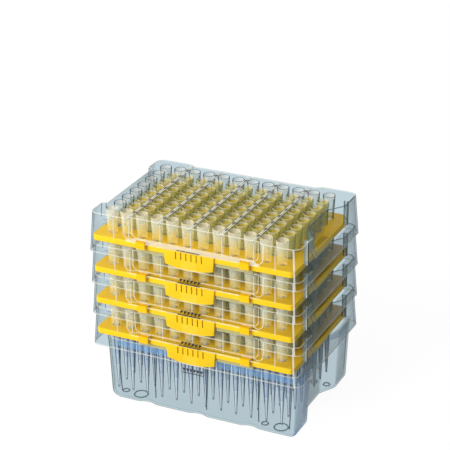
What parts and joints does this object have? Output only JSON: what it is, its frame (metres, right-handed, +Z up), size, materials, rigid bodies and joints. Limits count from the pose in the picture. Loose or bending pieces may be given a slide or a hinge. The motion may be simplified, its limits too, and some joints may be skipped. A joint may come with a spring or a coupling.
{
  "type": "box of pipette tips",
  "caption": "Stackable clear trays of pipette tips in yellow rack plates, nested on a deep clear base box.",
  "frame": {"origin": "on the surface that the base box stands on, under the centre of the trays", "axes": "+X to the right along the long side (12 columns of tips), +Y to the back, +Z up"},
  "size_m": [0.1244, 0.0842, 0.1123],
  "materials": {
    "clear_plastic": "clear moulded plastic",
    "yellow_plastic": "satin",
    "tip_plastic": "translucent"
  },
  "bodies": {
    "root": {"base_box": "clear_plastic", "tray_1": "clear_plastic", "rack_plate_1": "yellow_plastic", "tip_1_01": "tip_plastic", "tip_1_02": "tip_plastic", "tip_1_03": "tip_plastic", "tip_1_04": "tip_plastic", "tip_1_05": "tip_plastic", "tip_1_06": "tip_plastic", "tip_1_07": "tip_plastic", "tip_1_08": "tip_plastic", "tip_1_09": "tip_plastic", "tip_1_10": "tip_plastic", "tip_1_11": "tip_plastic", "tip_1_12": "tip_plastic", "tray_2": "clear_plastic", "rack_plate_2": "yellow_plastic", "tip_2_01": "tip_plastic", "tip_2_02": "tip_plastic", "tip_2_03": "tip_plastic", "tip_2_04": "tip_plastic", "tip_2_05": "tip_plastic", "tip_2_06": "tip_plastic", "tip_2_07": "tip_plastic", "tip_2_08": "tip_plastic", "tip_2_09": "tip_plastic", "tip_2_10": "tip_plastic", "tip_2_11": "tip_plastic", "tip_2_12": "tip_plastic", "tray_3": "clear_plastic", "rack_plate_3": "yellow_plastic", "tip_3_01": "tip_plastic", "tip_3_02": "tip_plastic", "tip_3_03": "tip_plastic", "tip_3_04": "tip_plastic", "tip_3_05": "tip_plastic", "tip_3_06": "tip_plastic", "tip_3_07": "tip_plastic", "tip_3_08": "tip_plastic", "tip_3_09": "tip_plastic", "tip_3_10": "tip_plastic", "tip_3_11": "tip_plastic", "tip_3_12": "tip_plastic", "tray_4": "clear_plastic", "rack_plate_4": "yellow_plastic", "tip_4_01": "tip_plastic", "tip_4_02": "tip_plastic", "tip_4_03": "tip_plastic", "tip_4_04": "tip_plastic", "tip_4_05": "tip_plastic", "tip_4_06": "tip_plastic", "tip_4_07": "tip_plastic", "tip_4_08": "tip_plastic", "tip_4_09": "tip_plastic", "tip_4_10": "tip_plastic", "tip_4_11": "tip_plastic", "tip_4_12": "tip_plastic"}
  },
  "joints": []
}
